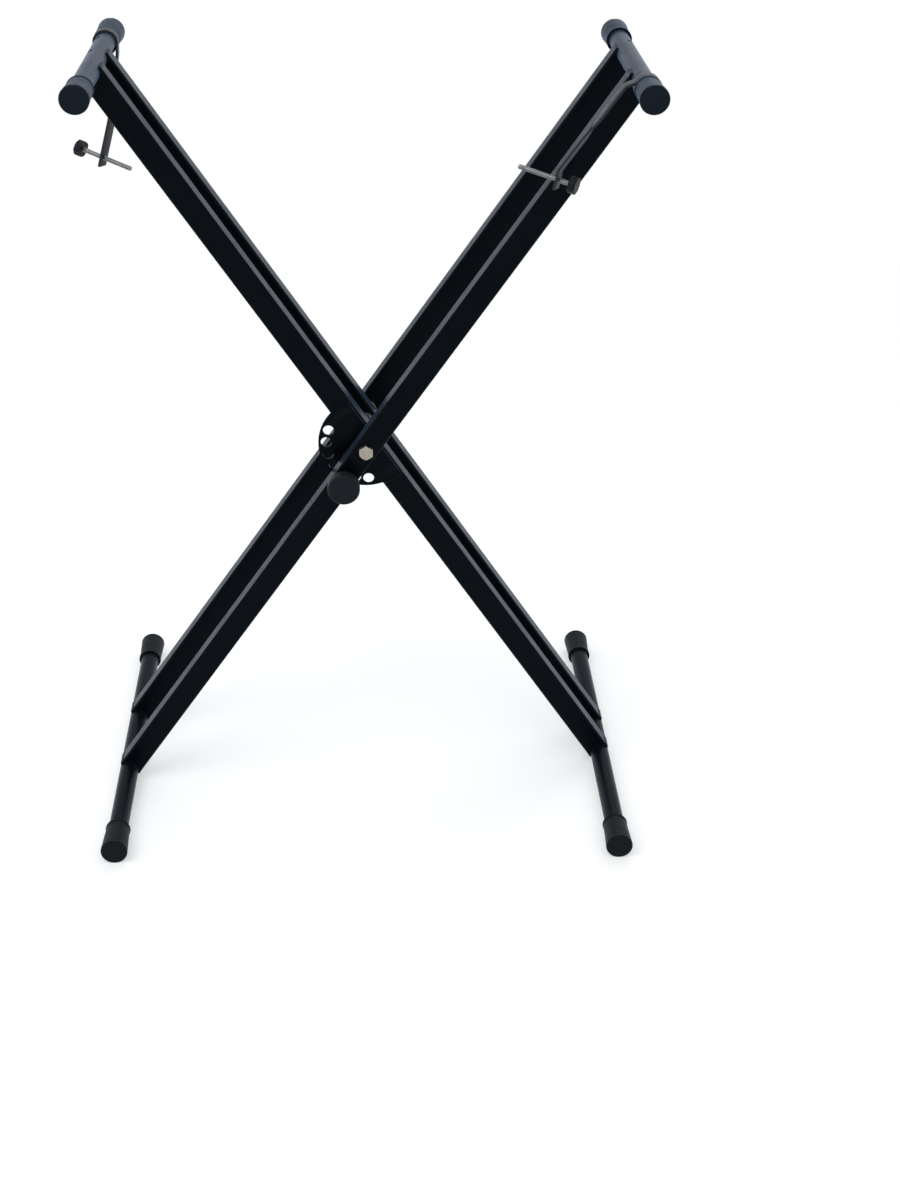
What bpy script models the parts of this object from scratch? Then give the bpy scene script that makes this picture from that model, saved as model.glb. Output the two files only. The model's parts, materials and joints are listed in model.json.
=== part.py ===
"""X-style keyboard stand with double-braced legs, a pin-and-plate fold lock and two clamp arms.

Metres, +Z up, front towards -Y. The stand is drawn open in the third-narrowest hole of its lock plate,
with the lock plunger pulled back. Run with: blender --background --python part.py
"""
import bpy
import bmesh
from math import cos, pi, radians, sin
from mathutils import Matrix, Vector

# Clearances and facets of round pieces
GAP = 0.0003
RUN_GAP = 0.0007
FACETS_LARGE = 36
FACETS_SMALL = 24
FACETS_DRILL = 16

# Fold of the two halves, as the angle between them
HOLE_FIRST_ANGLE = radians(30)
HOLE_PITCH = radians(19)
HOLE_COUNT = 7
REST_HOLE = 2
FOLD_ANGLE = HOLE_FIRST_ANGLE + REST_HOLE * HOLE_PITCH
LEAN = FOLD_ANGLE / 2

# Legs
TUBE_DEPTH = 0.025
TUBE_WIDTH = 0.030
TUBE_CORNER = 0.0030
TUBE_WALL = 0.0015
INNER_SPACING = 0.068
TOP_LENGTH = 0.5715
FOOT_LENGTH = 0.5805

# Bars across the ends of the legs
BAR_RADIUS = 0.0125
BAR_WALL = 0.0015
TOP_BAR_SPAN = 0.343
FOOT_BAR_SPAN = 0.508
TUBE_END_SETBACK = 0.0085
BAR_HOLE_RADIUS = 0.0024
BAR_HOLE_TURN = radians(38)
INNER_BAR_HOLES = (0.015, 0.085)
OUTER_BAR_HOLES = (0.071,)

# Rubber end caps
CAP_LENGTH = 0.048
CAP_RIM_RADIUS = 0.0152
CAP_END_RADIUS = 0.0172
CAP_END_WALL = 0.0035
CAP_EDGE = 0.0016
CAP_EDGE_STEP = 0.0005
CAP_LIP_RADIUS = 0.0161
CAP_LIP_LENGTH = 0.0022
CAP_LIP_SLOPE = 0.0011
CAP_FLAT_DEPTH = 0.0005

# Lock plate: a disc with one side cut off along the tube that carries it
PLATE_RADIUS = 0.0605
PLATE_THICKNESS = 0.0030
PLATE_EDGE_FROM_PIVOT = 0.013
HOLE_RADIUS = 0.0070
HOLE_CIRCLE_RADIUS = 0.0505

# Lock plunger
PIN_RADIUS = 0.0060
PIN_TIP_CHAMFER = 0.0008
PIN_STEM_RADIUS = 0.0030
PIN_SHOULDER_LENGTH = 0.0120
PIN_PAST_PLATE = 0.0011
HOUSING_FLANGE_RADIUS = 0.0115
HOUSING_FLANGE_HEIGHT = 0.0052
HOUSING_FLANGE_CHAMFER = 0.0006
HOUSING_BARREL_RADIUS = 0.0080
HOUSING_BARREL_LENGTH = 0.0180
HOUSING_ROOF = 0.0030
KNOB_RADIUS = 0.0205
KNOB_THICKNESS = 0.0175
KNOB_ROUND = 0.0040
KNOB_ROUND_STEPS = 4
KNOB_BACK_CHAMFER = 0.0010
KNOB_HUB_RADIUS = 0.0110
KNOB_HUB_STEP = 0.0015
STEM_INTO_KNOB = 0.0105

# Pivot bolts
BOLT_RADIUS = 0.0050
BOLT_HEAD_FLATS = 0.017
BOLT_HEAD_HEIGHT = 0.0064
BOLT_HEAD_CROWN = 0.0016
BOLT_HEAD_CROWN_WIDTH = 0.0033
BOLT_END_FROM_MIDDLE = 0.0040
WASHER_RADIUS = 0.0105
WASHER_THICKNESS = 0.0020
NUT_HEIGHT = 0.0080
SPACER_RADIUS = 0.0150

# Clamp arms
STRAP_WIDTH = 0.016
STRAP_THICKNESS = 0.003
EYE_FROM_CAP = 0.0010
EYE_WRAP = radians(335)
EYE_STEPS = 36
STRAP_TWIST = radians(26)
TWIST_START = 0.055
TWIST_END = 0.090
TWIST_STEPS = 8
FIRST_STEP_BELOW_EYE = 0.004
BEND_SPREAD = 0.003
STRAP_HOLE_FROM_END = 0.011
LEFT_LEG = 0.098
LEFT_TAB = 0.062
LEFT_SWING = radians(8.0)
LEFT_BEND = radians(6.5)
RIGHT_LEG = 0.135
RIGHT_TAB = 0.022
RIGHT_SWING = radians(-38.2)
RIGHT_BEND = radians(25.7)

# Thumb screws of the clamp arms
SCREW_RADIUS = 0.0030
SCREW_END_CHAMFER = 0.0006
SCREW_INTO_KNOB = 0.0060
SCREW_KNOB_RADIUS = 0.0105
SCREW_KNOB_THICKNESS = 0.009
SCREW_KNOB_LOBES = 7
POINTS_PER_LOBE = 4
SCREW_KNOB_LOBE_DEPTH = 0.0007
SCREW_KNOB_EDGE = 0.0012
LEFT_TIP_REACH = 0.0425
LEFT_KNOB_DISTANCE = 0.0305
RIGHT_TIP_REACH = 0.0507
RIGHT_KNOB_DISTANCE = 0.0153

# Sizes that follow from the ones above
CLEAR_SPACE = GAP + PLATE_THICKNESS + RUN_GAP
OUTER_SPACING = INNER_SPACING + 2 * (TUBE_DEPTH + CLEAR_SPACE)
INNER_FACE = (INNER_SPACING - TUBE_DEPTH) / 2
PLATE_BACK = (INNER_SPACING + TUBE_DEPTH) / 2 + GAP
SPACER_THICKNESS = CLEAR_SPACE - 2 * GAP
OUTER_FACE = (OUTER_SPACING + TUBE_DEPTH) / 2
PLUNGER_TRAVEL = RUN_GAP + PLATE_THICKNESS + PIN_PAST_PLATE
PIVOT_HEIGHT = FOOT_LENGTH * cos(LEAN) + CAP_END_RADIUS - CAP_FLAT_DEPTH
PIVOT_X = 0.0146
EYE_CENTRE = TOP_BAR_SPAN / 2 - CAP_LENGTH - EYE_FROM_CAP - STRAP_WIDTH / 2

for old in list(bpy.data.objects):
    bpy.data.objects.remove(old, do_unlink=True)

parts = bpy.data.collections.new("keyboard_stand")
cutters = bpy.data.collections.new("keyboard_stand_cutters")
bpy.context.scene.collection.children.link(parts)
bpy.context.scene.collection.children.link(cutters)
cutters.hide_render = True


def make_material(name, colour, roughness, metallic):
    """Principled material with one colour, roughness and metallic value."""
    material = bpy.data.materials.new(name)
    material.use_nodes = True
    shader = material.node_tree.nodes["Principled BSDF"]
    shader.inputs["Base Color"].default_value = (*colour, 1.0)
    shader.inputs["Roughness"].default_value = roughness
    shader.inputs["Metallic"].default_value = metallic
    material.diffuse_color = (*colour, 1.0)
    return material


BLACK_COAT = ("black powder coat", (0.012, 0.013, 0.016), 0.38, 0.0)
RUBBER = ("black rubber", (0.020, 0.021, 0.024), 0.62, 0.0)
ZINC = ("zinc plated steel", (0.56, 0.56, 0.54), 0.34, 1.0)
DARK_STEEL = ("dark steel", (0.050, 0.052, 0.056), 0.42, 1.0)
BLACK_PLASTIC = ("black plastic", (0.011, 0.011, 0.012), 0.45, 0.0)
NYLON = ("grey nylon", (0.30, 0.30, 0.29), 0.50, 0.0)


def finish(piece, name, look, parent, place=(0, 0, 0), turn=(0, 0, 0)):
    """Name a piece, give it its material, put it in the parts collection and place it."""
    piece.name = name
    piece.data.name = name
    piece.data.materials.clear()
    piece.data.materials.append(make_material(name, *look[1:]))
    for collection in list(piece.users_collection):
        collection.objects.unlink(piece)
    parts.objects.link(piece)
    piece.parent = parent
    piece.location = place
    piece.rotation_euler = turn
    piece.data.shade_smooth()
    piece.data.set_sharp_from_angle(angle=radians(35))
    return piece


def make_empty(name, place, turn=(0, 0, 0), parent=None):
    """Empty that carries pieces at a joint."""
    empty = bpy.data.objects.new(name, None)
    empty.empty_display_size = 0.03
    empty.location = place
    empty.rotation_euler = turn
    empty.parent = parent
    parts.objects.link(empty)
    return empty


def new_object(name, mesh):
    """Object in the scene for a mesh."""
    piece = bpy.data.objects.new(name, mesh)
    parts.objects.link(piece)
    return piece


def baked(piece):
    """Mesh object with the piece's modifiers applied and its loose caps welded."""
    bpy.context.view_layer.update()
    evaluated = piece.evaluated_get(bpy.context.evaluated_depsgraph_get())
    mesh = bpy.data.meshes.new_from_object(evaluated)
    shape = bmesh.new()
    shape.from_mesh(mesh)
    bmesh.ops.remove_doubles(shape, verts=shape.verts, dist=0.00001)
    bmesh.ops.recalc_face_normals(shape, faces=shape.faces)
    shape.to_mesh(mesh)
    shape.free()
    solid = new_object(piece.name + "_solid", mesh)
    solid.matrix_world = piece.matrix_world.copy()
    bpy.data.objects.remove(piece, do_unlink=True)
    return solid


def with_flat_faces(piece):
    """The same piece with its warped faces split into triangles."""
    shape = bmesh.new()
    shape.from_mesh(piece.data)
    bmesh.ops.triangulate(shape, faces=shape.faces)
    shape.to_mesh(piece.data)
    shape.free()
    return piece


def turned(name, profile, facets, closed=False):
    """Solid of revolution about Z from (radius, height) points."""
    mesh = bpy.data.meshes.new(name)
    edges = [(i, i + 1) for i in range(len(profile) - 1)]
    if closed:
        edges.append((len(profile) - 1, 0))
    mesh.from_pydata([(radius, 0, height) for radius, height in profile], edges, [])
    piece = new_object(name, mesh)
    screw = piece.modifiers.new("Screw", "SCREW")
    screw.axis = "Z"
    screw.steps = facets
    screw.render_steps = facets
    screw.use_merge_vertices = True
    screw.merge_threshold = 0.00001
    screw.use_smooth_shade = True
    return baked(piece)


def block(name, width, depth, height, corner=0.0):
    """Box with its base at z = 0 and rounded edges along Z."""
    shape = bmesh.new()
    bmesh.ops.create_cube(shape, size=1.0)
    bmesh.ops.scale(shape, vec=(width, depth, height), verts=shape.verts)
    bmesh.ops.translate(shape, vec=(0, 0, height / 2), verts=shape.verts)
    if corner > 0:
        upright = [edge for edge in shape.edges if abs(edge.verts[0].co.z - edge.verts[1].co.z) > height / 2]
        bmesh.ops.bevel(shape, geom=upright, offset=corner, segments=4, profile=0.5, affect="EDGES")
    mesh = bpy.data.meshes.new(name)
    shape.to_mesh(mesh)
    shape.free()
    return new_object(name, mesh)


def rod(name, radius, length, facets, middle=(0, 0, 0), axis="Z", spin=0.0):
    """Cylinder or prism with its middle at a point and its axis along Y or Z."""
    shape = bmesh.new()
    bmesh.ops.create_cone(shape, cap_ends=True, segments=facets, radius1=radius, radius2=radius, depth=length)
    bmesh.ops.rotate(shape, cent=(0, 0, 0), matrix=Matrix.Rotation(spin, 3, "Z"), verts=shape.verts)
    if axis == "Y":
        bmesh.ops.rotate(shape, cent=(0, 0, 0), matrix=Matrix.Rotation(pi / 2, 3, "X"), verts=shape.verts)
    bmesh.ops.translate(shape, vec=middle, verts=shape.verts)
    mesh = bpy.data.meshes.new(name)
    shape.to_mesh(mesh)
    shape.free()
    return new_object(name, mesh)


def as_cutter(tool):
    """Move an object to the cutters collection and show it as wire."""
    for collection in list(tool.users_collection):
        collection.objects.unlink(tool)
    cutters.objects.link(tool)
    tool.display_type = "WIRE"
    tool.hide_render = True


def combine(piece, tool, operation):
    """Boolean of two objects that share one frame; the tool stays with the cutters."""
    as_cutter(tool)
    change = piece.modifiers.new(operation.title(), "BOOLEAN")
    change.operation = operation
    change.solver = "EXACT"
    change.object = tool
    return baked(piece)


def cut(piece, *tools):
    """Cut each tool out of a piece."""
    for tool in tools:
        piece = combine(piece, tool, "DIFFERENCE")
    return piece


def leg_tube(name, bolt_hole, other_cutters):
    """Rectangular tube along Z about the pivot, coped round the bars at both ends."""
    length = TOP_LENGTH + FOOT_LENGTH - 2 * TUBE_END_SETBACK
    start = -FOOT_LENGTH + TUBE_END_SETBACK
    tube = block(name, TUBE_WIDTH, TUBE_DEPTH, length, TUBE_CORNER)
    tube.data.transform(Matrix.Translation((0, 0, start)))
    bore = block(name + "_bore", TUBE_WIDTH - 2 * TUBE_WALL, TUBE_DEPTH - 2 * TUBE_WALL,
                 length + 2 * TUBE_WALL, TUBE_CORNER - TUBE_WALL)
    bore.data.transform(Matrix.Translation((0, 0, start - TUBE_WALL)))
    tube = cut(tube, bore)
    cope_radius = BAR_RADIUS + GAP
    cope_length = TUBE_DEPTH * 2
    for height in (TOP_LENGTH, -FOOT_LENGTH):
        cope = rod(name + "_cope", cope_radius, cope_length, FACETS_LARGE, (0, 0, height), "Y")
        tube = cut(tube, cope)
    hole = rod(name + "_bolt_hole", bolt_hole, TUBE_DEPTH * 2, FACETS_SMALL, (0, 0, 0), "Y")
    return cut(tube, hole, *other_cutters)


def cross_bar(name, span):
    """Round tube along Y with open ends, short of the inside of its caps."""
    half = span / 2 - CAP_END_WALL - GAP
    inner = BAR_RADIUS - BAR_WALL
    profile = [(BAR_RADIUS, half), (BAR_RADIUS, -half), (inner, -half), (inner, half)]
    bar = turned(name, profile, FACETS_LARGE, closed=True)
    bar.data.transform(Matrix.Rotation(pi / 2, 4, "X"))
    return bar


def end_cap(name, down):
    """Tapered rubber cap along +Y with its closed end at y = 0, pushed over a bar."""
    inner = BAR_RADIUS + GAP
    profile = [
        (0, 0),
        (CAP_END_RADIUS - CAP_EDGE, 0),
        (CAP_END_RADIUS - CAP_EDGE_STEP, -CAP_EDGE_STEP),
        (CAP_END_RADIUS, -CAP_EDGE),
        (CAP_RIM_RADIUS, -CAP_LENGTH + CAP_LIP_LENGTH + CAP_LIP_SLOPE),
        (CAP_LIP_RADIUS, -CAP_LENGTH + CAP_LIP_LENGTH),
        (CAP_LIP_RADIUS, -CAP_LENGTH),
        (inner, -CAP_LENGTH),
        (inner, -CAP_END_WALL),
        (0, -CAP_END_WALL),
    ]
    cap = turned(name, profile, FACETS_LARGE)
    cap.data.transform(Matrix.Rotation(-pi / 2, 4, "X"))
    flat = CAP_END_RADIUS - CAP_FLAT_DEPTH
    tool = block(name + "_flat", CAP_END_RADIUS * 4, CAP_LENGTH * 4, CAP_END_RADIUS)
    tool.data.transform(Matrix.Translation((0, 0, flat)))
    tool.data.transform(Matrix.Rotation(down, 4, "Y"))
    return cut(cap, tool)


def washer(name, radius, thickness, hole):
    """Flat ring along Y, its middle at the origin."""
    profile = [(radius, thickness / 2), (radius, -thickness / 2), (hole, -thickness / 2), (hole, thickness / 2)]
    ring = turned(name, profile, FACETS_SMALL, closed=True)
    ring.data.transform(Matrix.Rotation(pi / 2, 4, "X"))
    return ring


def hexagon_radius(flats):
    """Corner radius of a hexagon from the distance between its flats."""
    return flats / 2 / cos(radians(30))


outer = make_empty("outer_half", (PIVOT_X, 0, PIVOT_HEIGHT), (0, LEAN, 0))
inner = make_empty("inner_half", (PIVOT_X, 0, PIVOT_HEIGHT), (0, -LEAN, 0))
halves = {"outer": (outer, OUTER_SPACING, LEAN), "inner": (inner, INNER_SPACING, -LEAN)}
ends = {"front": -1, "rear": 1}
bolt_hole = BOLT_RADIUS + GAP

# Legs, bars and caps of both halves
for half, (carrier, spacing, lean) in halves.items():
    for end, side in ends.items():
        extra = []
        name = half + "_tube_" + end
        if half == "outer" and end == "front":
            front_wall = (0, -TUBE_DEPTH, -HOLE_CIRCLE_RADIUS)
            rear_wall = (0, TUBE_DEPTH, -HOLE_CIRCLE_RADIUS)
            extra.append(rod("housing_hole", HOUSING_BARREL_RADIUS + GAP, TUBE_DEPTH * 2, FACETS_SMALL, front_wall, "Y"))
            extra.append(rod("pin_hole", PIN_RADIUS + GAP, TUBE_DEPTH * 2, FACETS_SMALL, rear_wall, "Y"))
        tube = leg_tube(name, bolt_hole, extra)
        finish(tube, name, BLACK_COAT, carrier, (0, side * spacing / 2, 0))
    for level, height, span in (("top", TOP_LENGTH, TOP_BAR_SPAN), ("foot", -FOOT_LENGTH, FOOT_BAR_SPAN)):
        name = half + "_" + level + "_bar"
        bar = cross_bar(name, span)
        if level == "top":
            outward = -1 if half == "inner" else 1
            for along in INNER_BAR_HOLES if half == "inner" else OUTER_BAR_HOLES:
                drill = rod(name + "_drill", BAR_HOLE_RADIUS, BAR_RADIUS, FACETS_DRILL, (0, 0, BAR_RADIUS))
                drill.data.transform(Matrix.Rotation(-lean + outward * BAR_HOLE_TURN, 4, "Y"))
                drill.data.transform(Matrix.Translation((0, along, 0)))
                bar = cut(bar, drill)
        finish(bar, name, BLACK_COAT, carrier, (0, 0, height))
        for end, side in ends.items():
            cap_name = half + "_" + level + "_cap_" + end
            turn = pi if level == "foot" else 0
            cap = end_cap(cap_name, (turn - lean) * side)
            spin = (0, 0, 0) if side > 0 else (0, 0, pi)
            finish(cap, cap_name, RUBBER, carrier, (0, side * span / 2, height), spin)

# Lock plate, welded to the inner front tube
plate_middle = -(PLATE_BACK + PLATE_THICKNESS / 2)
plate = rod("lock_plate", PLATE_RADIUS, PLATE_THICKNESS, FACETS_LARGE * 2, (0, 0, 0), "Y")
offcut = block("plate_offcut", PLATE_RADIUS * 2, PLATE_THICKNESS * 2, PLATE_RADIUS * 4)
offcut.data.transform(Matrix.Translation((PLATE_EDGE_FROM_PIVOT + PLATE_RADIUS, 0, -PLATE_RADIUS * 2)))
plate = cut(plate, offcut, rod("plate_bolt_hole", bolt_hole, PLATE_THICKNESS * 4, FACETS_SMALL, (0, 0, 0), "Y"))
for index in range(HOLE_COUNT):
    angle = HOLE_FIRST_ANGLE + index * HOLE_PITCH
    middle = (-sin(angle) * HOLE_CIRCLE_RADIUS, 0, -cos(angle) * HOLE_CIRCLE_RADIUS)
    plate = cut(plate, rod("lock_hole", HOLE_RADIUS, PLATE_THICKNESS * 4, FACETS_SMALL, middle, "Y"))
finish(plate, "lock_plate", BLACK_COAT, inner, (0, plate_middle, 0))

# Plunger housing in the outer front tube: flange, barrel and spring pocket, axis along Y
flange_seat = OUTER_FACE + GAP
barrel_bore = PIN_RADIUS + GAP
stem_bore = PIN_STEM_RADIUS + GAP
profile = [
    (stem_bore, HOUSING_FLANGE_HEIGHT),
    (HOUSING_FLANGE_RADIUS - HOUSING_FLANGE_CHAMFER, HOUSING_FLANGE_HEIGHT),
    (HOUSING_FLANGE_RADIUS, HOUSING_FLANGE_HEIGHT - HOUSING_FLANGE_CHAMFER),
    (HOUSING_FLANGE_RADIUS, 0),
    (HOUSING_BARREL_RADIUS, 0),
    (HOUSING_BARREL_RADIUS, -HOUSING_BARREL_LENGTH),
    (barrel_bore, -HOUSING_BARREL_LENGTH),
    (barrel_bore, HOUSING_FLANGE_HEIGHT - HOUSING_ROOF),
    (stem_bore, HOUSING_FLANGE_HEIGHT - HOUSING_ROOF),
]
housing = turned("plunger_housing", profile, FACETS_SMALL, closed=True)
housing.data.transform(Matrix.Rotation(pi / 2, 4, "X"))
finish(housing, "plunger_housing", ZINC, outer, (0, -flange_seat, -HOLE_CIRCLE_RADIUS))

# Plunger pin and knob, drawn pulled back: the pin's tip is level with the back of the outer tube
plunger = make_empty("plunger", (0, -(OUTER_FACE - TUBE_DEPTH), -HOLE_CIRCLE_RADIUS), (pi / 2, 0, 0), outer)
knob_back = TUBE_DEPTH + GAP + HOUSING_FLANGE_HEIGHT + GAP + PLUNGER_TRAVEL
stem_end = knob_back + STEM_INTO_KNOB
profile = [
    (0, stem_end),
    (PIN_STEM_RADIUS, stem_end),
    (PIN_STEM_RADIUS, PIN_SHOULDER_LENGTH),
    (PIN_RADIUS, PIN_SHOULDER_LENGTH),
    (PIN_RADIUS, PIN_TIP_CHAMFER),
    (PIN_RADIUS - PIN_TIP_CHAMFER, 0),
    (0, 0),
]
finish(turned("lock_pin", profile, FACETS_SMALL), "lock_pin", ZINC, plunger)
profile = [
    (0, KNOB_THICKNESS),
    (KNOB_RADIUS - KNOB_ROUND, KNOB_THICKNESS),
]
for step in range(1, KNOB_ROUND_STEPS + 1):
    angle = pi / 2 * step / KNOB_ROUND_STEPS
    profile.append((KNOB_RADIUS - KNOB_ROUND * (1 - sin(angle)), KNOB_THICKNESS - KNOB_ROUND * (1 - cos(angle))))
profile += [
    (KNOB_RADIUS, KNOB_HUB_STEP + KNOB_BACK_CHAMFER),
    (KNOB_RADIUS - KNOB_BACK_CHAMFER, KNOB_HUB_STEP),
    (KNOB_HUB_RADIUS, KNOB_HUB_STEP),
    (KNOB_HUB_RADIUS, 0),
    (stem_bore, 0),
    (stem_bore, stem_end - knob_back + GAP),
    (0, stem_end - knob_back + GAP),
]
finish(turned("lock_knob", profile, FACETS_LARGE), "lock_knob", BLACK_PLASTIC, plunger, (0, 0, knob_back))

# Pivot bolts, washers and nuts, front and rear; a corner of each head points straight up
for end, side in ends.items():
    head_seat = OUTER_FACE + GAP
    shank = head_seat - BOLT_END_FROM_MIDDLE
    overlap = BOLT_HEAD_HEIGHT / 4
    head_radius = hexagon_radius(BOLT_HEAD_FLATS)
    head_middle = (0, 0, BOLT_HEAD_HEIGHT / 2)
    head = rod("bolt_head", head_radius, BOLT_HEAD_HEIGHT, 6, head_middle, "Z", -side * LEAN)
    crown_profile = [
        (0, BOLT_HEAD_HEIGHT),
        (BOLT_HEAD_FLATS / 2 - GAP, BOLT_HEAD_HEIGHT),
        (BOLT_HEAD_FLATS / 2 - GAP + BOLT_HEAD_CROWN_WIDTH, BOLT_HEAD_HEIGHT - BOLT_HEAD_CROWN),
        (BOLT_HEAD_FLATS / 2 - GAP + BOLT_HEAD_CROWN_WIDTH, BOLT_HEAD_HEIGHT * 2),
        (0, BOLT_HEAD_HEIGHT * 2),
    ]
    head = cut(head, turned("crown_cutter", crown_profile, FACETS_LARGE))
    body = rod("bolt_shank", BOLT_RADIUS, shank + overlap, FACETS_SMALL, (0, 0, (overlap - shank) / 2))
    bolt = combine(head, body, "UNION")
    bolt.data.transform(Matrix.Rotation(-side * pi / 2, 4, "X"))
    finish(bolt, "pivot_bolt_" + end, ZINC, outer, (0, side * head_seat, 0))
    ring = washer("nut_washer_" + end, WASHER_RADIUS, WASHER_THICKNESS, bolt_hole)
    finish(ring, "nut_washer_" + end, ZINC, outer, (0, side * (INNER_FACE - GAP - WASHER_THICKNESS / 2), 0))
    nut = rod("nut", head_radius, NUT_HEIGHT, 6, (0, 0, 0), "Y")
    nut = cut(nut, rod("nut_bore", bolt_hole, NUT_HEIGHT * 2, FACETS_SMALL, (0, 0, 0), "Y"))
    nut_middle = INNER_FACE - 2 * GAP - WASHER_THICKNESS - NUT_HEIGHT / 2
    finish(nut, "pivot_nut_" + end, ZINC, outer, (0, side * nut_middle, 0))
spacer = washer("pivot_spacer", SPACER_RADIUS, SPACER_THICKNESS, bolt_hole)
finish(spacer, "pivot_spacer", NYLON, outer, (0, PLATE_BACK + SPACER_THICKNESS / 2, 0))


def strap_path(leg, tab, swing, bend):
    """Centre line of a strap in (x, y): once round the eye, down the leg and along the bent tab.

    Returns the points, the twist at each one, and the place and direction of the end.
    """
    radius = BAR_RADIUS + GAP + STRAP_THICKNESS / 2
    points = []
    twists = []
    for step in range(EYE_STEPS + 1):
        angle = EYE_WRAP * (1 - step / EYE_STEPS)
        points.append(Vector((radius * cos(angle), radius * sin(angle), 0)))
        twists.append(0.0)
    corner = Vector((radius, -leg, 0))
    end = corner + tab * Vector((-sin(bend), -cos(bend), 0))
    total = leg + tab
    places = [TWIST_START + (TWIST_END - TWIST_START) * step / TWIST_STEPS for step in range(TWIST_STEPS + 1)]
    places += [leg + BEND_SPREAD * share for share in (-1, -1 / 3, 1 / 3, 1)]
    places += [FIRST_STEP_BELOW_EYE, total]
    for place in sorted(places):
        if place <= leg:
            point = Vector((radius, -place, 0))
        else:
            point = corner + (place - leg) * (end - corner).normalized()
        points.append(point)
        share = min(max((place - TWIST_START) / (TWIST_END - TWIST_START), 0.0), 1.0)
        twists.append(share * share * (3 - 2 * share))
    turn = Matrix.Rotation(-swing, 4, "Z")
    return [turn @ point for point in points], twists, turn @ end, turn.to_3x3() @ (end - corner).normalized()


def lobed_knob(name):
    """Small lobed knob along +Z from z = 0."""
    outline = bpy.data.curves.new(name, "CURVE")
    outline.dimensions = "2D"
    outline.fill_mode = "BOTH"
    outline.extrude = SCREW_KNOB_THICKNESS / 2
    count = SCREW_KNOB_LOBES * POINTS_PER_LOBE
    spline = outline.splines.new("POLY")
    spline.points.add(count - 1)
    for index in range(count):
        angle = 2 * pi * index / count
        radius = SCREW_KNOB_RADIUS - SCREW_KNOB_LOBE_DEPTH * (1 - cos(SCREW_KNOB_LOBES * angle)) / 2
        spline.points[index].co = (radius * cos(angle), radius * sin(angle), 0, 1)
    spline.use_cyclic_u = True
    piece = bpy.data.objects.new(name, outline)
    parts.objects.link(piece)
    knob = baked(piece)
    knob.data.transform(Matrix.Translation((0, 0, SCREW_KNOB_THICKNESS / 2)))
    round_edge = knob.modifiers.new("Bevel", "BEVEL")
    round_edge.width = SCREW_KNOB_EDGE
    round_edge.segments = 2
    round_edge.limit_method = "ANGLE"
    round_edge.angle_limit = radians(60)
    return baked(knob)


def clamp(name, carrier, lean, side, leg, tab, swing, bend, tip_reach, knob_distance):
    """Strap arm with its thumb screw and knob; side is +1 at the rear end and -1 at the front end.

    The arm hangs on the bar's inner side. Seen from its own end of the bar, both arms are the same
    hand, so the front one is the rear one turned half round about Z.
    """
    facing = 0 if side > 0 else pi
    hinge = make_empty(name + "_hinge", (0, side * EYE_CENTRE, TOP_LENGTH), (0, -lean, 0), carrier)
    points, twists, end, along = strap_path(leg, tab, swing, bend)
    curve = bpy.data.curves.new(name, "CURVE")
    curve.dimensions = "3D"
    curve.twist_mode = "Z_UP"
    curve.use_fill_caps = True
    section = bpy.data.curves.new(name + "_section", "CURVE")
    section.dimensions = "2D"
    corners = ((-1, -1), (1, -1), (1, 1), (-1, 1))
    ring = section.splines.new("POLY")
    ring.points.add(len(corners) - 1)
    for index, (across, over) in enumerate(corners):
        ring.points[index].co = (across * STRAP_THICKNESS / 2, over * STRAP_WIDTH / 2, 0, 1)
    ring.use_cyclic_u = True
    section_object = bpy.data.objects.new(name + "_section", section)
    as_cutter(section_object)
    curve.bevel_mode = "OBJECT"
    curve.bevel_object = section_object
    spline = curve.splines.new("POLY")
    spline.points.add(len(points) - 1)
    for index, (point, twist) in enumerate(zip(points, twists)):
        spline.points[index].co = (*point, 1)
        spline.points[index].tilt = STRAP_TWIST * twist
    path = bpy.data.objects.new(name, curve)
    parts.objects.link(path)
    strap = with_flat_faces(baked(path))
    upright = Matrix.Rotation(pi / 2, 4, "X")
    strap.data.transform(Matrix.Rotation(facing, 4, "Z") @ upright)
    hole_place = end - along * STRAP_HOLE_FROM_END
    outward = Vector((along.y, -along.x, 0))
    direction = Matrix.Rotation(STRAP_TWIST, 3, along) @ outward
    stand_up = Matrix.Rotation(facing, 3, "Z") @ upright.to_3x3()
    hole_place = stand_up @ hole_place
    direction = stand_up @ direction
    aim = direction.to_track_quat("Z", "Y")
    hole = rod(name + "_screw_hole", SCREW_RADIUS + GAP, STRAP_THICKNESS * 4, FACETS_SMALL)
    hole.data.transform(Matrix.Translation(hole_place) @ aim.to_matrix().to_4x4())
    strap = cut(strap, hole)
    finish(strap, name + "_arm", DARK_STEEL, hinge)
    drive = make_empty(name + "_drive", hole_place, aim.to_euler(), hinge)
    knob_top = knob_distance + SCREW_INTO_KNOB
    profile = [
        (0, knob_top),
        (SCREW_RADIUS, knob_top),
        (SCREW_RADIUS, -tip_reach + SCREW_END_CHAMFER),
        (SCREW_RADIUS - SCREW_END_CHAMFER, -tip_reach),
        (0, -tip_reach),
    ]
    finish(turned(name + "_screw", profile, FACETS_SMALL), name + "_screw", ZINC, drive)
    knob = lobed_knob(name + "_knob")
    socket = rod(name + "_socket", SCREW_RADIUS + GAP, 2 * (SCREW_INTO_KNOB + GAP), FACETS_SMALL)
    knob = cut(knob, socket)
    finish(knob, name + "_knob", BLACK_PLASTIC, drive, (0, 0, knob_distance))


clamp("left", inner, -LEAN, 1, LEFT_LEG, LEFT_TAB, LEFT_SWING, LEFT_BEND, LEFT_TIP_REACH, LEFT_KNOB_DISTANCE)
clamp("right", outer, LEAN, -1, RIGHT_LEG, RIGHT_TAB, RIGHT_SWING, RIGHT_BEND, RIGHT_TIP_REACH, RIGHT_KNOB_DISTANCE)
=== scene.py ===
"""Looks of the keyboard stand: materials, welds, threads, clamp arms, top bars, floor, light, camera."""

import json
from math import cos, hypot, pi, radians, sin, sqrt

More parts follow.
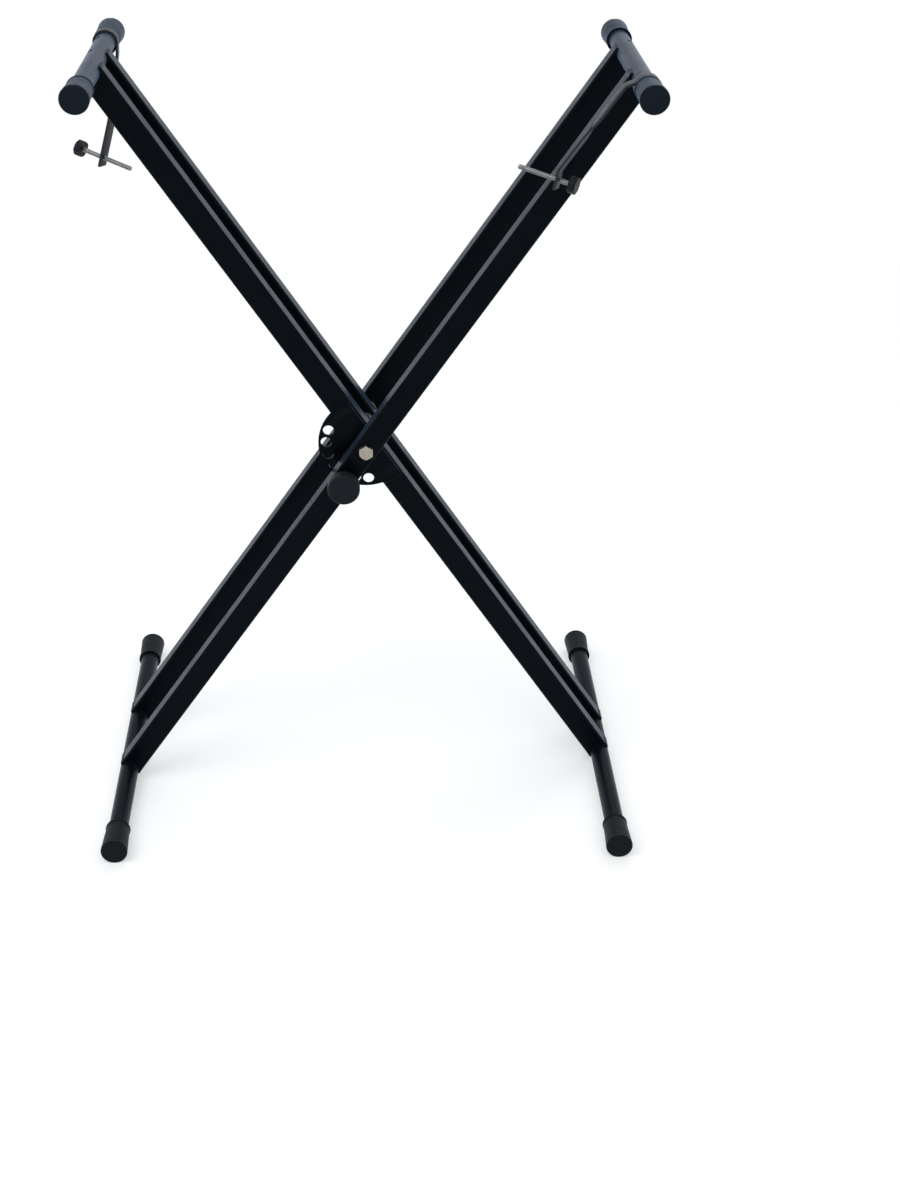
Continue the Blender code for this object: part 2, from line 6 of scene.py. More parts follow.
import bmesh
import bpy
from mathutils import Matrix, Vector


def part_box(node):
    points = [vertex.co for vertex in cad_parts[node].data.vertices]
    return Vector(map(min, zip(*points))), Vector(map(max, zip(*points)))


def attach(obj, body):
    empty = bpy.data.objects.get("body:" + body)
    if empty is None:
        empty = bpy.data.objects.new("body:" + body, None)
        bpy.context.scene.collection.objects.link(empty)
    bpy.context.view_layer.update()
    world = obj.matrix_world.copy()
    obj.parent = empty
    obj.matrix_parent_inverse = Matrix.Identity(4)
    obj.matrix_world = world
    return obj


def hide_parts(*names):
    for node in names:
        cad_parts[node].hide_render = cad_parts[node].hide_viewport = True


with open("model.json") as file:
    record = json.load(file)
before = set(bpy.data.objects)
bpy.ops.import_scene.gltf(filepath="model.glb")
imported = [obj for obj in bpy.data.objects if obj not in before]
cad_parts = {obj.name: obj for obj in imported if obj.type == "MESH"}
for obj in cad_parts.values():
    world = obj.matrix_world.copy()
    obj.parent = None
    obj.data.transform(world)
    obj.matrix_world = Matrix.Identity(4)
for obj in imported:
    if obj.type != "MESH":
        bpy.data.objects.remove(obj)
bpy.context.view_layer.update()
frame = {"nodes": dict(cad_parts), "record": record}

# Places taken from the frame
joints = {joint["name"]: joint for joint in frame["record"]["behaviour"]["joints"]}
PIVOT = Vector(joints["fold"]["pos_m"])
LEFT_BAR = Vector(joints["left_arm_swing"]["pos_m"])
LEAN = Vector((0, 0, 1)).angle(Vector((LEFT_BAR.x - PIVOT.x, 0, LEFT_BAR.z - PIVOT.z)))
TOP_LENGTH = hypot(LEFT_BAR.x - PIVOT.x, LEFT_BAR.z - PIVOT.z)
foot_low, foot_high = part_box("outer_foot_bar")
BAR_RADIUS = (foot_high.z - foot_low.z) / 2
FOOT_LENGTH = (PIVOT.z - (foot_high.z + foot_low.z) / 2) / cos(LEAN)

# Welds where the tubes meet the bars
TUBE_HALF_WIDTH = 0.015
TUBE_END_SETBACK = 0.0085
TUBE_CORNER = 0.0030
FACE_TOE = 0.0016
SIDE_TOE_ON_TUBE = 0.0003
SIDE_TOE_RISE = 0.0012
WELD_BULGE = 0.0006
SKIN = 0.00006
RIPPLE_HEIGHT = 0.00022
WELD_RIPPLE = 0.0016
WELD_SPACING = 0.0005
TUBE_CORNER_STEPS = 6
ROOT_DEPTH = 0.0012

# Shares that shape these welds: hollow flank, taper at the tube's narrow sides, root hidden in the joint
FILLET_HOLLOW = 0.3
SIDE_TAPER = 0.6
TIP_TAPER = 0.5
ROOT_WIDTH = 0.7
ROOT_REACH = 0.9

# Lock plate, and the two welds along its round edge
PLATE_RADIUS = 0.0605
HOLE_CIRCLE_RADIUS = 0.0505
PLATE_WELD_RADIUS = 0.0024
PLATE_WELD_SPREAD = radians(13.5)
PLATE_WELD_STEPS = 60

# Round beads: ripple and thickness of the ends as shares of the radius, and how fast the ends thicken
BEAD_SIDES = 8
BEAD_RIPPLE = 0.13
BEAD_END = 0.35
BEAD_END_RAMP = 6

# Clamp arms: rolled strip with an eye, a joggle below it, a twist and a bent end
STRAP_WIDTH = 0.016
STRAP_THICKNESS = 0.003
STRAP_ROUND = 0.0006
STRAP_ROUND_STEPS = 3
EYE_CLEARANCE = 0.0003
EYE_RADIUS = BAR_RADIUS + EYE_CLEARANCE + STRAP_THICKNESS / 2
EYE_WRAP = radians(322)
EYE_STEPS = 60
JOG_LENGTH = 0.016
STRAP_TWIST = radians(26)
TWIST_START = 0.055
TWIST_END = 0.090
STRAP_HOLE_FROM_END = 0.011
STRAP_HOLE_RADIUS = 0.0034
STRAP_STEP = 0.0015
LEFT_STRAP = {"leg": 0.098, "tab": 0.062, "swing": radians(8.0), "bend": radians(6.5), "jog": 0.0012}
RIGHT_STRAP = {"leg": 0.135, "tab": 0.022, "swing": radians(-38.2), "bend": radians(25.7), "jog": 0.0070}

# Top bars: hollow, with holes drilled into their outer upper side
BAR_BORE_RADIUS = 0.0105
BAR_SIDES = 64
BAR_HOLE_RADIUS = 0.0041
BAR_HOLE_TURN = radians(30)
INNER_BAR_HOLES = (0.015, 0.085)
OUTER_BAR_HOLES = (0.071,)

# Drilled holes of the arms and bars
DRILL_SIDES = 24
DRILLED_SHARP_ANGLE = radians(40)

# Rings moulded near the mouth of each cap, their grooves darkened with painted shade
RING_PITCH = 0.0085
RINGS_LENGTH = 0.019
RINGS_FADE = 0.004
RING_DEPTH = 0.0006

# Zinc tones: bright on the screws, warmer on the pivot's bolts
SCREW_ZINC = ((0.34, 0.35, 0.36), (0.20, 0.20, 0.21))
BOLT_ZINC = ((0.46, 0.42, 0.36), (0.28, 0.25, 0.21))

# Threads of the thumb screws; the ridge's foot and crest are half widths in pitches
SCREW_RADIUS = 0.0030
THREAD_DEPTH = 0.00035
THREAD_PITCH = 0.0008
THREAD_STEPS = 14
THREAD_CHAMFER = 0.0006
THREAD_TIP = 0.7
THREAD_SHARP_ANGLE = radians(30)
RIDGE_ROOT_DEPTH = 0.0001
RIDGE_FOOT = 0.42
RIDGE_CREST = 0.08

# Floor: pale near the object and white further away, with the object's shadow kept
FLOOR_HALF = 14.0
FLOOR_COLOUR = 0.80
FLOOR_GLOW = 0.42
FADE_START = 0.9
FADE_END = 2.4

# Light
SKY_COLOUR = (0.94, 0.97, 1.0)
SKY_STRENGTH = 0.60
LAMP_SIZE = 2.4
LAMP_AIM = Vector((0, 0, 0.5))
KEY_PLACE = Vector((-1.6, -1.4, 3.2))
KEY_POWER = 34
BACK_PLACE = Vector((1.0, 2.2, 3.0))
BACK_POWER = 18

# Camera
PHOTO_WIDTH = 900
PHOTO_HEIGHT = 1200
SENSOR = 36.0
CAMERA_FOCAL = 1801.26
CAMERA_CENTRE = (406.6, 440.0)
CAMERA_PLACE = Vector((-0.0132, -2.12236, 0.97971))
CAMERA_PITCH = radians(25.2106)
CAMERA_YAW = radians(1.7981)
CAMERA_ROLL = radians(0.4821)
CAMERA_CLIP_END = 60.0


def socket(node, name, value):
    """Set one input of a shader node."""
    node.inputs[name].default_value = value


def material(name, colour, roughness, ior=1.5, metallic=0.0, tint=(1.0, 1.0, 1.0)):
    """New Principled material and its node tree."""
    made = bpy.data.materials.new(name)
    made.use_nodes = True
    shader = made.node_tree.nodes["Principled BSDF"]
    socket(shader, "Base Color", (*colour, 1.0))
    socket(shader, "Roughness", roughness)
    socket(shader, "Metallic", metallic)
    socket(shader, "IOR", ior)
    socket(shader, "Specular Tint", (*tint, 1.0))
    return made


def painted_sky_sheen(shader, weight):
    """Sheen of dark coats seen at a flat angle: partly the coat's own dusty sheen, partly a painted
    reflection of the sky in its bluish tint.
    """
    socket(shader, "Sheen Weight", weight)
    socket(shader, "Sheen Roughness", 0.35)
    # Painted sky reflection: the bluish tint stands in for sky light on upward faces.
    socket(shader, "Sheen Tint", (0.42, 0.64, 1.0, 1.0))


class Graph:
    """Short names for adding nodes to a material."""

    def __init__(self, made):
        self.tree = made.node_tree
        self.shader = self.tree.nodes["Principled BSDF"]
        self.place = self.add("ShaderNodeTexCoord").outputs["Object"]

    def add(self, kind, **settings):
        node = self.tree.nodes.new(kind)
        for key, value in settings.items():
            setattr(node, key, value)
        return node

    def link(self, source, target):
        self.tree.links.new(source, target)

    def noise(self, scale, detail=3.0, stretch=(1, 1, 1)):
        """Noise value between 0 and 1 at a scale per metre."""
        mapping = self.add("ShaderNodeMapping")
        socket(mapping, "Scale", stretch)
        self.link(self.place, mapping.inputs["Vector"])
        noise = self.add("ShaderNodeTexNoise")
        socket(noise, "Scale", scale)
        socket(noise, "Detail", detail)
        self.link(mapping.outputs["Vector"], noise.inputs["Vector"])
        return noise.outputs["Fac"]

    def band(self, source, low, high, low_value, high_value):
        """Source mapped from low..high to low_value..high_value and held beyond."""
        node = self.add("ShaderNodeMapRange")
        socket(node, "From Min", low)
        socket(node, "From Max", high)
        socket(node, "To Min", low_value)
        socket(node, "To Max", high_value)
        self.link(source, node.inputs["Value"])
        return node.outputs["Result"]

    def maths(self, operation, first, second):
        """One math node; each input is a socket or a number."""
        node = self.add("ShaderNodeMath", operation=operation)
        for index, value in enumerate((first, second)):
            if isinstance(value, (int, float)):
                node.inputs[index].default_value = value
            else:
                self.link(value, node.inputs[index])
        return node.outputs[0]

    def mix(self, share, first, second):
        """Colour mix of two colours by a share."""
        node = self.add("ShaderNodeMix", data_type="RGBA")
        self.link(share, node.inputs["Factor"])
        for index, value in ((6, first), (7, second)):
            if isinstance(value, tuple):
                node.inputs[index].default_value = (*value, 1.0)
            else:
                self.link(value, node.inputs[index])
        return node.outputs[2]

    def bump(self, height, distance, strength=1.0, under=None):
        """Bump from a height, over another bump if given."""
        node = self.add("ShaderNodeBump")
        socket(node, "Distance", distance)
        socket(node, "Strength", strength)
        self.link(height, node.inputs["Height"])
        if under is not None:
            self.link(under, node.inputs["Normal"])
        return node.outputs["Normal"]

    def edges(self, radius):
        """1 on edges that a bevel of this radius would round, 0 on flat faces."""
        bevel = self.add("ShaderNodeBevel", samples=4)
        socket(bevel, "Radius", radius)
        normal = self.add("ShaderNodeNewGeometry")
        dot = self.add("ShaderNodeVectorMath", operation="DOT_PRODUCT")
        self.link(bevel.outputs["Normal"], dot.inputs[0])
        self.link(normal.outputs["Normal"], dot.inputs[1])
        return self.band(dot.outputs["Value"], 0.98, 0.80, 0.0, 1.0)

    def split(self):
        """The x, y and z of the object's coordinates."""
        node = self.add("ShaderNodeSeparateXYZ")
        self.link(self.place, node.inputs["Vector"])
        return node.outputs["X"], node.outputs["Y"], node.outputs["Z"]

    def set(self, name, source):
        self.link(source, self.shader.inputs[name])


def powder_coat(name, wear=0.10, lumps=0.00006, sheen=0.22):
    """Semi-gloss black powder coat: orange peel, cloudy gloss and rubbed edges."""
    made = material(name, (0.0012, 0.0022, 0.0036), 0.34, ior=1.15, tint=(0.66, 0.86, 1.0))
    graph = Graph(made)
    painted_sky_sheen(graph.shader, sheen)
    cloud = graph.noise(24)
    grain = graph.noise(900, 2.0)
    scuff = graph.noise(130, 6.0, (1.0, 1.0, 0.25))
    gloss = graph.band(cloud, 0.3, 0.7, 0.28, 0.38)
    marks = graph.band(scuff, 0.60, 0.72, 0.0, 0.14)
    graph.set("Roughness", graph.maths("ADD", gloss, marks))
    worn = graph.maths("MULTIPLY", graph.edges(0.0009), graph.band(scuff, 0.50, 0.68, 0.0, wear))
    shade = graph.band(cloud, 0.25, 0.75, 0.0, 1.0)
    tone = graph.mix(shade, (0.0006, 0.0014, 0.0026), (0.0020, 0.0030, 0.0042))
    graph.set("Base Color", graph.mix(worn, tone, (0.10, 0.105, 0.11)))
    graph.set("Normal", graph.bump(grain, lumps, 0.6))
    return made


def lock_plate_coat():
    """Powder coat with a rubbed track where the lock pin slides from hole to hole."""
    made = powder_coat("coat_lock_plate", wear=0.04)
    graph = Graph(made)
    x, _, z = graph.split()
    dx = graph.maths("SUBTRACT", x, PIVOT.x)
    dz = graph.maths("SUBTRACT", z, PIVOT.z)
    squares = graph.maths("ADD", graph.maths("MULTIPLY", dx, dx), graph.maths("MULTIPLY", dz, dz))
    reach = graph.maths("SQRT", squares, 0.0)
    off_track = graph.maths("ABSOLUTE", graph.maths("SUBTRACT", reach, HOLE_CIRCLE_RADIUS), 0.0)
    track = graph.band(off_track, 0.0025, 0.0062, 1.0, 0.0)
    streaks = graph.band(graph.noise(420, 4.0), 0.45, 0.62, 0.0, 1.0)
    rubbed = graph.maths("MULTIPLY", graph.maths("MULTIPLY", track, streaks), 0.25)
    old = graph.shader.inputs["Base Color"].links[0].from_socket
    graph.set("Base Color", graph.mix(rubbed, old, (0.030, 0.031, 0.034)))
    return made


def rubber(name, mouth, outward, painted_sky_tint):
    """Matt rubber cap with moulded rings near its mouth, the grooves between them darkened with painted
    shade; caps on the top bars get a bluish tone and more sheen as painted sky light; outward is +1 or -1
    along Y.
    """
    # Painted sky light: caps on the top bars get a bluish tone and stronger sheen than the foot caps of
    # the same rubber.
    tone = (0.007, 0.011, 0.017) if painted_sky_tint else (0.007, 0.008, 0.009)
    made = material(name, tone, 0.50, ior=1.18, tint=(0.72, 0.88, 1.0))
    graph = Graph(made)
    painted_sky_sheen(graph.shader, 0.31 if painted_sky_tint else 0.08)
    cloud = graph.noise(60, 5.0)
    grain = graph.noise(1500, 3.0)
    _, y, _ = graph.split()
    inward = graph.maths("MULTIPLY", graph.maths("SUBTRACT", y, mouth), outward)
    wave = graph.maths("SINE", graph.maths("MULTIPLY", inward, 2 * pi / RING_PITCH), 0.0)
    ring = graph.band(wave, 0.80, 1.0, 1.0, 0.0)
    near = graph.band(inward, RINGS_LENGTH, RINGS_LENGTH + RINGS_FADE, 1.0, 0.0)
    groove_with_painted_shade = graph.maths("MULTIPLY", graph.maths("SUBTRACT", 1.0, ring), near)
    scuffs = graph.band(graph.noise(210, 6.0), 0.56, 0.72, 0.0, 1.0)
    tone = graph.mix(cloud, tuple(0.8 * part for part in tone), tuple(1.25 * part for part in tone))
    dusty = graph.mix(graph.maths("MULTIPLY", scuffs, 0.15), tone, (0.045, 0.048, 0.052))
    # Painted shade: the ring grooves are darkened towards near black.
    graph.set("Base Color", graph.mix(graph.maths("MULTIPLY", groove_with_painted_shade, 0.7), dusty, (0.002, 0.002, 0.003)))
    graph.set("Roughness", graph.band(cloud, 0.3, 0.7, 0.42, 0.56))
    fine = graph.bump(grain, 0.00008, 0.7)
    graph.set("Normal", graph.bump(graph.maths("SUBTRACT", 1.0, groove_with_painted_shade), RING_DEPTH, 1.0, fine))
    return made


def zinc(name, light, dark):
    """Zinc plating in two tones: fine brushing and dull clouds."""
    made = material(name, light, 0.34, metallic=1.0)
    graph = Graph(made)
    cloud = graph.noise(180, 5.0)
    lines = graph.noise(1400, 3.0)
    graph.set("Base Color", graph.mix(cloud, light, dark))
    graph.set("Roughness", graph.band(cloud, 0.3, 0.7, 0.28, 0.44))
    graph.set("Normal", graph.bump(lines, 0.00004, 0.5))
    return made


def strap_coat(name):
    """Thin dark paint on rolled strip, rubbed grey along the edges."""
    made = material(name, (0.032, 0.034, 0.038), 0.40, ior=1.22, tint=(0.84, 0.92, 1.0))
    graph = Graph(made)
    painted_sky_sheen(graph.shader, 0.16)
    cloud = graph.noise(80, 5.0)
    scuff = graph.noise(260, 6.0)
    worn = graph.maths("MULTIPLY", graph.edges(0.0006), graph.band(scuff, 0.50, 0.70, 0.0, 0.4))
    tone = graph.mix(cloud, (0.026, 0.028, 0.032), (0.038, 0.041, 0.045))
    graph.set("Base Color", graph.mix(worn, tone, (0.09, 0.09, 0.09)))
    graph.set("Roughness", graph.band(cloud, 0.3, 0.7, 0.34, 0.50))
    graph.set("Normal", graph.bump(graph.noise(1100, 3.0), 0.00006, 0.6))
    return made


def plastic(name):
    """Black moulded plastic with a fine spark texture."""
    made = material(name, (0.008, 0.010, 0.013), 0.44, ior=1.22, tint=(0.86, 0.93, 1.0))
    graph = Graph(made)
    cloud = graph.noise(120, 5.0)
    scuff = graph.band(graph.noise(500, 6.0), 0.60, 0.74, 0.0, 0.30)
    graph.set("Base Color", graph.mix(scuff, (0.008, 0.010, 0.013), (0.030, 0.032, 0.036)))
    graph.set("Roughness", graph.band(cloud, 0.3, 0.7, 0.40, 0.56))
    graph.set("Normal", graph.bump(graph.noise(1600, 2.0), 0.00009, 0.8))
    return made


def nylon(name):
    """Off-white nylon of the spacer."""
    made = material(name, (0.30, 0.30, 0.28), 0.5)
    graph = Graph(made)
    graph.set("Base Color", graph.mix(graph.noise(150, 4.0), (0.27, 0.27, 0.25), (0.35, 0.35, 0.33)))
    graph.set("Normal", graph.bump(graph.noise(1300, 2.0), 0.00006, 0.5))
    return made


def dress(node, made):
    """Give a CAD node its finished material."""
    for slot in frame["nodes"][node].material_slots:
        slot.material = made


coat = powder_coat("coat_frame")
# Painted sky light: the top bars get twice the coat's bluish sheen, so they look brighter and bluer than
# the foot bars in the same coat.
top_bar_coat_painted_sheen = powder_coat("coat_top_bars_painted_sheen", sheen=0.44)
for node in frame["nodes"]:
    if node.endswith("_top_bar"):
        dress(node, top_bar_coat_painted_sheen)
    elif "_tube_" in node or node.endswith("_bar") or node == "plunger_housing":
        dress(node, coat)
    elif "_cap_" in node:
        low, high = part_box(node)
        outward = 1 if high.y > 0 else -1
        mouth = low.y if outward > 0 else high.y
        dress(node, rubber("rubber_" + node, mouth, outward, "_top_" in node))
    elif node.endswith("_arm"):
        dress(node, strap_coat("paint_" + node))
    elif node.endswith("_knob"):
        dress(node, plastic("plastic_" + node))
    elif node == "pivot_spacer":
        dress(node, nylon("nylon_spacer"))
    elif node == "lock_plate":
        dress(node, lock_plate_coat())
    elif "_bolt_" in node:
        dress(node, zinc("zinc_" + node, *BOLT_ZINC))
    else:
        dress(node, zinc("zinc_" + node, *SCREW_ZINC))


def piece_from(shape, name, made, body):
    """Object from a bmesh, shaded smooth, with a material, riding on a CAD body."""
    bmesh.ops.recalc_face_normals(shape, faces=shape.faces)
    mesh = bpy.data.meshes.new(name)
    shape.to_mesh(mesh)
    shape.free()
    mesh.materials.append(made)
    mesh.shade_smooth()
    piece = bpy.data.objects.new(name, mesh)
    bpy.context.scene.collection.objects.link(piece)
    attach(piece, body)
    return piece


def join_rings(shape, rings, closed=False):
    """Faces between each ring of points and the next one."""
    following = rings[1:] + (rings[:1] if closed else [])
    for first, second in zip(rings, following):
        for step in range(len(first)):
            after = (step + 1) % len(first)
            shape.faces.new((first[step], first[after], second[after], second[step]))


def cap_ends(shape, rings):
    """Faces over the first and the last ring."""
    shape.faces.new(list(reversed(rings[0])))
    shape.faces.new(rings[-1])


def circle(radius, sides):
    """Points (x, y) round a circle."""
    angles = [2 * pi * step / sides for step in range(sides)]
    return [(radius * cos(angle), radius * sin(angle)) for angle in angles]


def rounded_outline(half_width, half_depth, radius, steps):
    """Points (x, y) round a rectangle with rounded corners."""
    outline = []
    for turn, across, over in ((0, 1, 1), (1, -1, 1), (2, -1, -1), (3, 1, -1)):
        for step in range(steps + 1):
            angle = pi / 2 * (turn + step / steps)
            x = across * (half_width - radius) + radius * cos(angle)
            y = over * (half_depth - radius) + radius * sin(angle)
            outline.append((x, y))
    return outline


def smooth(share):
    """Share from 0 to 1 with a gentle start and end."""
    return share * share * (3 - 2 * share)


def add_bead(shape, points, radius):
    """Round, rippled weld bead along points, thinner at its two ends."""
    count = len(points)
    rings = []
    travel = 0.0
    side = None
    for index, point in enumerate(points):
        before = points[max(index - 1, 0)]
        after = points[min(index + 1, count - 1)]
        along = (after - before).normalized()
        travel += (point - before).length
        if side is None:
            side = along.orthogonal().normalized()
        else:
            side = (side - side.dot(along) * along).normalized()
        over = along.cross(side)
        grow = 1.0 + BEAD_RIPPLE * cos(2 * pi * travel / WELD_RIPPLE)
        grow *= min(1.0, BEAD_END + BEAD_END_RAMP * min(index, count - 1 - index) / count)
        ring = []
        for x, y in circle(1.0, BEAD_SIDES):
            ring.append(shape.verts.new(point + radius * grow * (side * x + over * y)))
        rings.append(ring)
    join_rings(shape, rings)
    cap_ends(shape, rings)


def resampled(points, spacing):
    """Points at an even spacing round a closed line of points."""
    line = points + points[:1]
    lengths = [0.0]
    for first, second in zip(line, line[1:]):
        lengths.append(lengths[-1] + (second - first).length)
    count = int(lengths[-1] / spacing)
    made = []
    index = 0
    for step in range(count):
        target = lengths[-1] * step / count
        while index < len(lengths) - 2 and lengths[index + 1] < target:
            index += 1
        share = (target - lengths[index]) / (lengths[index + 1] - lengths[index])
        made.append(line[index].lerp(line[index + 1], min(share, 1.0)))
    return made


def tube_weld(name, body, half_turn, reach, end, tube):
    """Fillet round the end of a tube up to the bar; reach is the bar's place along the tube."""
    low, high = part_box(tube)
    middle = (low.y + high.y) / 2
    depth = (high.y - low.y) / 2
    edge = sqrt(BAR_RADIUS ** 2 - TUBE_END_SETBACK ** 2)
    corners = rounded_outline(TUBE_HALF_WIDTH, depth, TUBE_CORNER, TUBE_CORNER_STEPS)
    outline = resampled([Vector((x, y, 0)) for x, y in corners], WELD_SPACING)
    carry = Matrix.Translation(PIVOT) @ Matrix.Rotation(half_turn, 4, "Y")
    shape = bmesh.new()
    rings = []
    for index, place in enumerate(outline):
        along = (outline[(index + 1) % len(outline)] - outline[index - 1]).normalized()
        out = Vector((along.y, -along.x, 0))
        past = min(max((abs(place.x) - edge) / (TUBE_HALF_WIDTH - edge), 0.0), 1.0)
        top = -sqrt(max(BAR_RADIUS ** 2 - place.x ** 2, SIDE_TOE_RISE ** 2))
        bottom = min(-TUBE_END_SETBACK, top) - FACE_TOE * (1 - past) - SIDE_TOE_ON_TUBE * past
        swell = WELD_BULGE + RIPPLE_HEIGHT * cos(2 * pi * index * WELD_SPACING / WELD_RIPPLE)
        sign = 1 if place.x > 0 else -1
        bar_x = min(abs(place.x), sqrt(BAR_RADIUS ** 2 - top ** 2)) * sign
        ring = [
            (place.x, place.y, bottom, SKIN),
            (place.x, place.y, (bottom + top) / 2, SKIN + swell * FILLET_HOLLOW * (1 - past)),
            (place.x, place.y, top - WELD_BULGE * 2 * past, SKIN + swell * (1 - SIDE_TAPER * past)),
            (place.x - sign * WELD_BULGE * past, place.y, top, swell * (1 - TIP_TAPER * past)),
            (bar_x, place.y, top, FACE_TOE * abs(out.y) * (1 - past)),
            (place.x * ROOT_WIDTH, place.y, min(top, bottom) * ROOT_REACH, -ROOT_DEPTH),
        ]
        spots = [Vector((x, y, z)) + out * push for x, y, z, push in ring]
        placed = [carry @ Vector((spot.x, middle + spot.y, reach + end * spot.z)) for spot in spots]
        rings.append([shape.verts.new(spot) for spot in placed])
    join_rings(shape, rings, closed=True)
    piece_from(shape, name, weld_coat, body)


weld_coat = powder_coat("coat_weld", wear=0.0, lumps=0.00018)
for half, body, half_turn in (("outer", "outer_frame", LEAN), ("inner", "inner_frame", -LEAN)):
    for level, reach, end in (("top", TOP_LENGTH, 1), ("foot", -FOOT_LENGTH, -1)):
        for place in ("front", "rear"):
            name = "weld_" + half + "_" + level + "_" + place
            tube_weld(name, body, half_turn, reach, end, half + "_tube_" + place)


def plate_weld(name, middle_angle):
    """Weld along the round edge of the lock plate where it lies on the tube's face."""
    plate_low, plate_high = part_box("lock_plate")
    reach = PLATE_RADIUS + PLATE_WELD_RADIUS / 2
    points = []
    for step in range(PLATE_WELD_STEPS + 1):
        angle = middle_angle + PLATE_WELD_SPREAD * (2 * step / PLATE_WELD_STEPS - 1)
        points.append(Vector((PIVOT.x + cos(angle) * reach, plate_high.y, PIVOT.z + sin(angle) * reach)))
    shape = bmesh.new()
    add_bead(shape, points, PLATE_WELD_RADIUS)
    piece_from(shape, name, weld_coat, "inner_frame")


plate_weld("weld_plate_upper", pi / 2 + LEAN)
plate_weld("weld_plate_lower", -pi / 2 + LEAN)


def thumb_screw(node, joint, body):
    """Threaded rod in place of a plain one, with a chamfer at both ends."""
    low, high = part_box(node)
    aim = Vector(joints[joint]["axis"]).normalized()
    span = abs(aim.x)
    length = ((high.x - low.x) - 2 * SCREW_RADIUS * sqrt(1 - span * span)) / span
    core = SCREW_RADIUS - THREAD_DEPTH
    shape = bmesh.new()
    rings = []
    for height, radius in (
        (-length / 2, core * THREAD_TIP),
        (-length / 2 + THREAD_CHAMFER, core),
        (length / 2 - THREAD_CHAMFER, core),
        (length / 2, core * THREAD_TIP),
    ):
        rings.append([shape.verts.new((x, y, height)) for x, y in circle(radius, THREAD_STEPS)])
    join_rings(shape, rings)
    cap_ends(shape, rings)
    turns = (length - 2 * THREAD_PITCH) / THREAD_PITCH
    count = int(turns * THREAD_STEPS)
    ridge = []
    for index in range(count + 1):
        angle = 2 * pi * index / THREAD_STEPS
        height = -length / 2 + THREAD_PITCH + index * THREAD_PITCH / THREAD_STEPS
        grow = min(1.0, index / THREAD_STEPS, (count - index) / THREAD_STEPS)
        ring = []
        for radius, shift in (
            (core - RIDGE_ROOT_DEPTH, -RIDGE_FOOT),
            (core + THREAD_DEPTH * grow, -RIDGE_CREST),
            (core + THREAD_DEPTH * grow, RIDGE_CREST),
            (core - RIDGE_ROOT_DEPTH, RIDGE_FOOT),
        ):
            place = (radius * cos(angle), radius * sin(angle), height + shift * THREAD_PITCH)
            ring.append(shape.verts.new(place))
        ridge.append(ring)
    join_rings(shape, ridge)
    cap_ends(shape, ridge)
    turn = aim.to_track_quat("Z", "Y").to_matrix().to_4x4()
    shape.transform(Matrix.Translation((low + high) / 2) @ turn)
    piece = piece_from(shape, node + "_threaded", zinc("zinc_thread_" + node, *SCREW_ZINC), body)
    piece.data.set_sharp_from_angle(angle=THREAD_SHARP_ANGLE)
    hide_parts(node)


thumb_screw("left_screw", "left_screw_drive", "left_thumb_screw")
thumb_screw("right_screw", "right_screw_drive", "right_thumb_screw")


def drill_hole(piece, place, aim, radius, depth):
    """Cut a round hole through a piece at a place, along a direction."""
    shape = bmesh.new()
    bmesh.ops.create_cone(
        shape, cap_ends=True, segments=DRILL_SIDES, radius1=radius, radius2=radius, depth=depth
    )
    shape.transform(Matrix.Translation(place) @ aim.to_track_quat("Z", "Y").to_matrix().to_4x4())
    mesh = bpy.data.meshes.new("drill")
    shape.to_mesh(mesh)
    shape.free()
    drill = bpy.data.objects.new("drill", mesh)
    bpy.context.scene.collection.objects.link(drill)
    bore = piece.modifiers.new("bore", "BOOLEAN")
    bore.object = drill
    bpy.context.view_layer.update()
    evaluated = piece.evaluated_get(bpy.context.evaluated_depsgraph_get())
    bored = bpy.data.meshes.new_from_object(evaluated)
    piece.modifiers.clear()
    piece.data = bored
    piece.data.shade_smooth()
    piece.data.set_sharp_from_angle(angle=DRILLED_SHARP_ANGLE)
    bpy.data.objects.remove(drill)


def strap_line(leg, tab, swing, bend, jog):
    """Centre line of a strap from the eye's free end to the tip, with its twist, and its hole's place."""
    points = []
    for step in range(EYE_STEPS):
        angle = EYE_WRAP * (1 - step / EYE_STEPS)
        points.append((Vector((EYE_RADIUS * cos(angle), 0, EYE_RADIUS * sin(angle))), 0.0))
    corner = Vector((EYE_RADIUS, 0, -leg))
    down = Vector((-sin(bend), 0, -cos(bend)))
    total = leg + tab
    hole = total - STRAP_HOLE_FROM_END
    count = round(total / STRAP_STEP)
    for step in range(count + 1):
        place = total * step / count
        point = Vector((EYE_RADIUS, 0, -place)) if place < leg else corner + (place - leg) * down
        rise = smooth(min(place / JOG_LENGTH, 1.0))
        fall = min(max((hole - place) / (hole - JOG_LENGTH), 0.0), 1.0)
        point.x += jog * rise * fall
        share = min(max((place - TWIST_START) / (TWIST_END - TWIST_START), 0.0), 1.0)
        points.append((point, smooth(share)))
    turn = Matrix.Rotation(swing, 3, "Y")
    line = [(turn @ point, twist) for point, twist in points]
    return line, turn @ (corner + tab * down - down * STRAP_HOLE_FROM_END)


